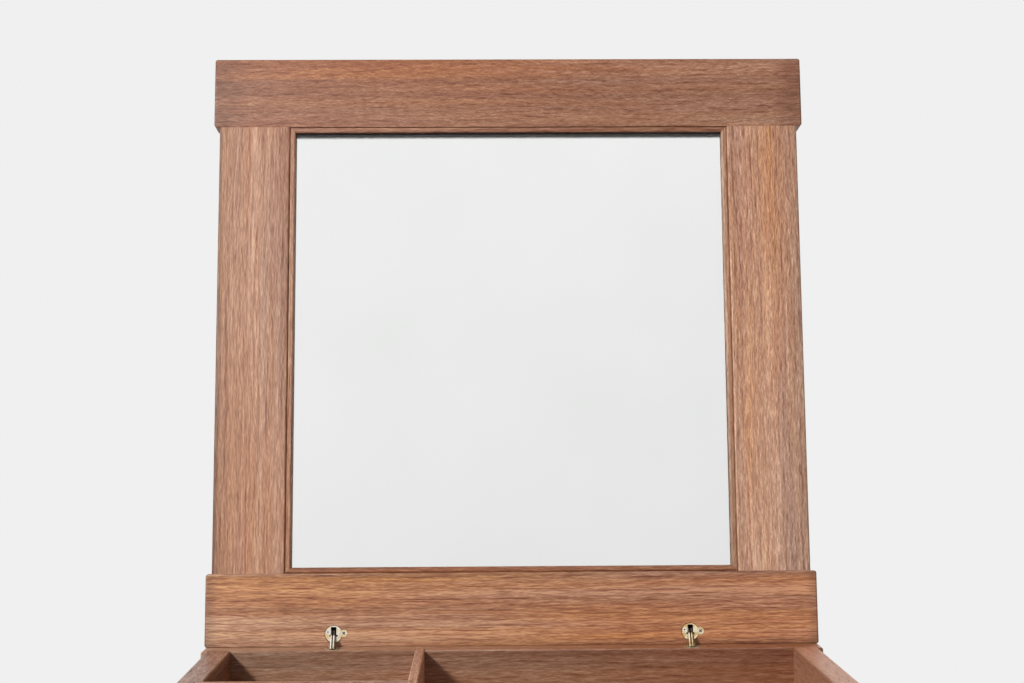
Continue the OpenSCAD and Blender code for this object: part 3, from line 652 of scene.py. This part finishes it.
# %% Painted shade in the recesses
# Near-black painted shade for slots, bores, screw recesses and the arms inside the slots.
RECESS_SHADE = srgb(15, 11, 9)
RECESS_SHADE_FROM, RECESS_SHADE_TO = -0.45 * MM, -0.9 * MM
IN_WALL_FROM, IN_WALL_TO = 0.6 * MM, -0.4 * MM
OVER_SLOT_FROM, OVER_SLOT_TO, OVER_SLOT_SHARE = -0.6 * MM, 0.8 * MM, 0.9
SLOT_BELOW_MIDDLE = 1.1 * MM
FACE_OF = {"lid": furthest("lid_barrel_left", OUT_OF_MIRROR), "wall": furthest("wall_barrel_left", UP)}
SLOT_END = middle_of("lid_barrel_left").dot(UP_LID) - SLOT_BELOW_MIDDLE


def recess_shaded(wires, place, face, level, start=RECESS_SHADE_FROM, end=RECESS_SHADE_TO):
    """1 well below a level that looks along a direction, 0 above it."""
    return 1.0 - wires.dot(place, face).ramp_up(level + end, level + start)


def below(face, level):
    """The painted shade in the slots and bores below a face."""
    return lambda wires, place: recess_shaded(wires, place, face, level)


def in_slots(wires, place):
    """The painted shade on an arm where it goes into the slot of either barrel."""
    over_slot = wires.dot(place, UP_LID).ramp_up(SLOT_END + OVER_SLOT_FROM, SLOT_END + OVER_SLOT_TO)
    in_wall = recess_shaded(wires, place, UP, FACE_OF["wall"], IN_WALL_FROM, IN_WALL_TO)
    return (over_slot * OVER_SLOT_SHARE + in_wall).clipped()


print("the slots in the lid end", round(SLOT_END / MM, 1), "mm up the lid")

# %% [markdown]
# The rest is worn metal: patches where it has dulled, fine scratches that also make the bump, and on
# a turned face the rings that the tool has left. The rings could be cut into the mesh, but they are
# finer than a picture can show one by one, so they are noise along the distance from the middle.

# %% Worn metal
PATCHES, SCRATCHES, TURNING = (240, 240, 240), (5200, 900, 900), (2600, 1, 1)
PATCH_EDGES = (0.35, 0.65)
SCRATCHED = 0.08
TURNED_CONTRAST, TURNED_LOSS, TURNED_SHARE = 1.6, 0.5, 0.5
RECESS_SHADE_COVERS, RECESS_SHADE_ROUGHENS = 0.7, 0.35
METAL_BUMP, METAL_BUMP_DEPTH = 0.12, 0.05 * MM


def metal(name, finish, recess_shade_mask=None, face=None, centre=None):
    """A worn metal, with painted shade where the given mask is 1, and turning rings round a centre."""
    w = new_material(name)
    place = w.place()
    patches = w.noise(place, PATCHES, 2.0).ramp_up(*PATCH_EDGES)
    scratches = w.noise(place, SCRATCHES, 2.0)
    colour = w.mix(patches, finish.bright, finish.dull)
    rough = patches * (finish.rough - finish.smooth) + (scratches - 0.5) * SCRATCHED + finish.smooth
    metallic = 1.0
    if centre is not None:
        radius = w.length(w.vector("CROSS_PRODUCT", w.vector("SUBTRACT", place, centre), face))
        rings = w.noise(w.node("ShaderNodeCombineXYZ", None, {"X": radius}), TURNING, 2.0)
        turned = (rings * TURNED_CONTRAST - TURNED_LOSS).clipped()
        colour = w.mix(turned * TURNED_SHARE, colour, finish.dull)
    # Below the face the colour turns to painted shade, and the metal there is less metallic and rougher.
    if recess_shade_mask is not None:
        dark = recess_shade_mask(w, place)
        colour = w.mix(dark, colour, RECESS_SHADE)
        metallic = 1.0 - dark * RECESS_SHADE_COVERS
        rough = rough + dark * RECESS_SHADE_ROUGHENS
    normal = w.node("ShaderNodeBump", None,
                    {"Strength": METAL_BUMP, "Distance": METAL_BUMP_DEPTH, "Height": scratches})
    return w.principled({"Base Color": colour, "Metallic": metallic, "Normal": normal, "Roughness": rough})


print("a wave of the patches is", round(1 / PATCHES[0] / MM, 1), "mm long")

# %% [markdown]
# Each hinge is two barrels, let into the wood of the lid and of the wall, with an ear, a screw down the
# ear, a grub screw, and arms on pins between them. A barrel's turning rings need its axis. The middle of
# its box isn't on it, because the ear widens the box to the right, so the axis is taken one radius in from
# the left. A screw's recess is shallow, so its painted shade starts a little sooner.

# %% Hinges and screws
BARREL_RADIUS = 7.5 * MM
SCREW_SOONER = 0.3 * MM
LID_BRASS = {"left": HIGHLIGHT_BRASS, "right": YELLOW_BRASS}


def barrel_centre(node, face, level):
    """The middle of a barrel's turned face."""
    centre = middle_of(node)
    centre.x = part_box(node)[0].x + BARREL_RADIUS
    return centre + face * (level - centre.dot(face))


for side, face in (("lid", OUT_OF_MIRROR), ("wall", UP)):
    level = FACE_OF[side]
    for hand in ("left", "right"):
        node = f"{side}_barrel_{hand}"
        finish = LID_BRASS[hand] if side == "lid" else DULLED_BRASS
        dress(node, metal(node, finish, below(face, level), face, barrel_centre(node, face, level)))
    for screws, finish in (("barrel_screws", BRIGHT_BRASS), ("grub_screws", STEEL)):
        node = f"{side}_{screws}"
        dress(node, metal(node, finish, below(face, furthest(node, face) + SCREW_SOONER)))
    dress(f"{side}_arm_pins", metal(f"{side}_arm_pins", STEEL))
for hand in ("left", "right"):
    dress(f"lid_arms_{hand}", metal(f"lid_arms_{hand}", LID_BRASS[hand], in_slots))
    dress(f"wall_arm_{hand}", metal(f"wall_arm_{hand}", SHADOWED_BRASS, in_slots))
for node in ("runner_screws", "lower_knob_screw", "upper_knob_screw"):
    dress(node, metal(node, STEEL))
print("hinges and screws dressed")

# %% [markdown]
# A mirror is a sheet of clear glass with a film of silver on its back. One shiny sheet would do from
# afar, but then a bead and its image would touch. With the silver behind three millimetres of
# glass, a gap shows between them, as in a real mirror. The glass is the packed piece.

# %% Glass
HAZE, HAZE_ROUGHNESS = (7, 7, 7), 0.004
GLASS_IOR = 1.5
w = new_material("mirror_glass")
haze = w.noise(w.place(), HAZE, 2.0)
clear = w.mix(haze, srgb(252, 252, 252), srgb(248, 249, 248))
dress("mirror_glass", w.principled({"Base Color": clear, "Transmission Weight": 1.0, "IOR": GLASS_IOR,
                                    "Roughness": haze * HAZE_ROUGHNESS}))
glass_back = -furthest("mirror_glass", -OUT_OF_MIRROR)
glass_low, glass_high = -furthest("mirror_glass", -UP_LID), furthest("mirror_glass", UP_LID)
glass_w, glass_h = furthest("mirror_glass", RIGHT) * 2, glass_high - glass_low
print("glass", [round(v / MM, 1) for v in (glass_w, glass_h)], "mm")

# %% [markdown]
# The film is a new piece, a twentieth of a millimetre thick, just inside the glass's back face. A plane
# would do for a picture, but real silver has a front and a back, and so does a thin box. It starts as one
# cube, which bmesh scales to the glass and turns to the lean of the lid, and it is parented to an empty
# named for the lid's body.

# %% Silver film
FILM, FILM_IN, FILM_MARGIN = 0.05 * MM, 0.03 * MM, 1.0 * MM
film_size = Vector((glass_w - 2 * FILM_MARGIN, glass_h - 2 * FILM_MARGIN, FILM))
film_middle = UP_LID * ((glass_low + glass_high) / 2) + OUT_OF_MIRROR * (glass_back + FILM_IN + FILM / 2)
lid_turn = Matrix((RIGHT, UP_LID, OUT_OF_MIRROR)).transposed().to_4x4()
film = bmesh.new()
bmesh.ops.create_cube(film, size=1.0)
bmesh.ops.scale(film, verts=film.verts, vec=film_size)
bmesh.ops.transform(film, verts=film.verts, matrix=Matrix.Translation(film_middle) @ lid_turn)
film_mesh = bpy.data.meshes.new("mirror_silvering")
film.to_mesh(film_mesh)
film.free()
silvering = bpy.data.objects.new("mirror_silvering", film_mesh)
bpy.context.scene.collection.objects.link(silvering)
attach(silvering, "lid")
print("silver film", [round(v / MM, 2) for v in film_size], "mm")

# %% [markdown]
# Below the front bead the silver has a narrow dark strip with a ragged edge. It is painted shade that
# stands for the bead's shaded underside seen in the mirror. It could be a strip of its own, but the shade
# fades out slowly, so it is the same film with a colour that fades along the lid, and it is less metallic
# and rougher there. The rest is nearly even, with a breath of tarnish.

# %% Silver
SHADE_BAND_EDGE, SHADE_BAND_FADE, SHADE_BAND_RAGGED = 4.4 * MM, 2.6 * MM, 0.8 * MM
SHADE_BAND_DULL, SHADE_BAND_ROUGHNESS, TARNISH_ROUGHNESS = 0.5, 0.4, 0.01
RAGGED = (500, 500, 500)
w = new_material("silver")
place = w.place()
tarnish = w.noise(place, HAZE, 2.0)
ragged = w.noise(place, RAGGED, 2.0) * SHADE_BAND_RAGGED
# The dark strip below the front bead is painted shade: the bead's shaded underside as the mirror shows it.
shade_band_from = -furthest("bead_front", -UP_LID) - SHADE_BAND_EDGE
shade_band = (w.dot(place, UP_LID) + ragged).ramp_up(shade_band_from, shade_band_from + SHADE_BAND_FADE)
colour = w.mix(shade_band, w.mix(tarnish, srgb(250, 250, 250), srgb(244, 245, 244)), srgb(62, 58, 55))
rough = shade_band * SHADE_BAND_ROUGHNESS + tarnish * TARNISH_ROUGHNESS
film_mesh.materials.append(w.principled({"Base Color": colour, "Metallic": 1.0 - shade_band * SHADE_BAND_DULL,
                                         "Roughness": rough}))
print("the silver fades from", round(SHADE_BAND_EDGE / MM, 1), "mm below the front bead")

# %% [markdown]
# Behind the glass lies a board of felted brown fibres. Nobody sees it, so one noise between two
# browns is enough, and what looks through a crack finds no plain grey.

# %% Backing board
FELTED, FELT_DETAIL, FELT_SHARPNESS = (700, 700, 700), 3.0, 0.7
FELT_ROUGHNESS, FELT_VARIES = 0.7, 0.1
w = new_material("hardboard")
felted = w.noise(w.place(), FELTED, FELT_DETAIL, FELT_SHARPNESS)
brown = w.mix(felted, srgb(92, 66, 48), srgb(142, 108, 80))
rough = felted * FELT_VARIES + FELT_ROUGHNESS
dress("mirror_backing", w.principled({"Base Color": brown, "Roughness": rough}))
print("the backing board is dressed")

# %% [markdown]
# The light is plain and soft, as in a studio. A small key lamp to the left of the camera and above
# it gives the slanting shadow in the well and the soft shadows of the hinge arms. A large, weaker
# lamp behind on the right keeps the back and the right side from going flat. A lamp without size
# would throw shadows with hard edges, while an area lamp's grow softer with distance, as they do
# indoors.

# %% Lamps
LAMP_AIM = Vector((0, 0.25, 0.55))
LAMP_DISTANCE = 2.6
KEY_FROM, KEY_SIZE, KEY_WATTS = Vector((-0.7, -1.0, 0.5)), 0.28, 49.0
FILL_FROM, FILL_SIZE, FILL_WATTS = Vector((0.9, 1.0, 1.0)), 1.2, 30.0


def lamp(name, comes_from, size, watts):
    """A square soft lamp that looks at the chest from a direction."""
    made = bpy.data.objects.new(name, bpy.data.lights.new(name, "AREA"))
    made.data.size = size
    made.data.energy = watts
    made.location = LAMP_AIM + comes_from.normalized() * LAMP_DISTANCE
    made.rotation_euler = comes_from.to_track_quat("Z", "Y").to_euler()
    bpy.context.scene.collection.objects.link(made)
    print(name, "at", [round(v, 2) for v in made.location])


lamp("key", KEY_FROM, KEY_SIZE, KEY_WATTS)
lamp("fill", FILL_FROM, FILL_SIZE, FILL_WATTS)

# %% [markdown]
# The world is the rest of the light. More of it comes from the left than from the right, and less
# from above than from below, so the shade in the well is deep. The camera sees an even pale grey
# there instead, and metal and glass see a grey that grows paler upwards, which gives the mirror
# its slow shading. One world serves for all three, because a Light Path node tells which kind of
# ray asks.

# %% World
AMBIENT, AMBIENT_TURN, AMBIENT_RISE = 0.40, -0.8, -0.3
BACKGROUND = 0.87
REFLECTED, REFLECTED_RISE, REFLECTED_TURN = 0.83, 0.30, -0.12
WHITE = (1, 1, 1, 1)


def seen_by(wires, *names):
    """1 for the kinds of ray that are named, 0 for the others."""
    kinds = [wires.node("ShaderNodeLightPath", output=name) for name in names]
    return sum(kinds[1:], kinds[0]).clipped()


world = bpy.data.worlds.new("studio")
bpy.context.scene.world = world
w = Wires(world)
to_the_right, _, upwards = w.parts(w.node("ShaderNodeTexCoord", output="Generated"))
in_metal = (upwards * REFLECTED_RISE + to_the_right * REFLECTED_TURN + REFLECTED).clipped()
ambient = (to_the_right * AMBIENT_TURN + upwards * AMBIENT_RISE + 1.0) * AMBIENT
camera_ray = seen_by(w, "Is Camera Ray")
mirror_ray = seen_by(w, "Is Glossy Ray", "Is Transmission Ray")
brightness = camera_ray * (BACKGROUND - ambient) + mirror_ray * (in_metal - ambient) + ambient
w.ends_in(w.node("ShaderNodeBackground", None, {"Color": WHITE, "Strength": brightness}),
          "ShaderNodeOutputWorld")
print("ambient light from", round(AMBIENT * (1 + AMBIENT_TURN), 2), "on the right to",
      round(AMBIENT * (1 - AMBIENT_TURN), 2), "on the left")

# %% [markdown]
# The floor is a pale disc under the chest, which takes its shadow. A plain edge would show as a line
# behind it, so the disc fades into the background further out, but only for what the camera, the
# metal and the glass see. It still lights the wood from below as paint would.

# %% Floor
FLOOR_RADIUS, FLOOR_SIDES, FLOOR_BELOW = 8.0, 64, 0.5 * MM
FADES_FROM, FADES_TO = 0.5, 1.6
FLOOR_PAINT = (0.86, 0.86, 0.86, 1)
outline = bmesh.new()
bmesh.ops.create_circle(outline, cap_ends=True, segments=FLOOR_SIDES, radius=FLOOR_RADIUS)
floor_mesh = bpy.data.meshes.new("floor")
outline.to_mesh(floor_mesh)
outline.free()
floor = bpy.data.objects.new("floor", floor_mesh)
floor.location.z = -FLOOR_BELOW
bpy.context.scene.collection.objects.link(floor)

w = new_material("pale floor")
far = w.length(w.place()).ramp_up(FADES_FROM, FADES_TO)
directly = seen_by(w, "Is Camera Ray", "Is Glossy Ray", "Is Transmission Ray")
paint = w.node("ShaderNodeBsdfDiffuse", None, {"Color": FLOOR_PAINT})
glow = w.node("ShaderNodeEmission", None, {"Color": WHITE, "Strength": BACKGROUND})
floor_mesh.materials.append(w.ends_in(w.node("ShaderNodeMixShader", None,
                                             {"Fac": far * directly, 1: paint, 2: glow})))
print("the floor fades between", FADES_FROM, "and", FADES_TO, "m from the chest")

# %% [markdown]
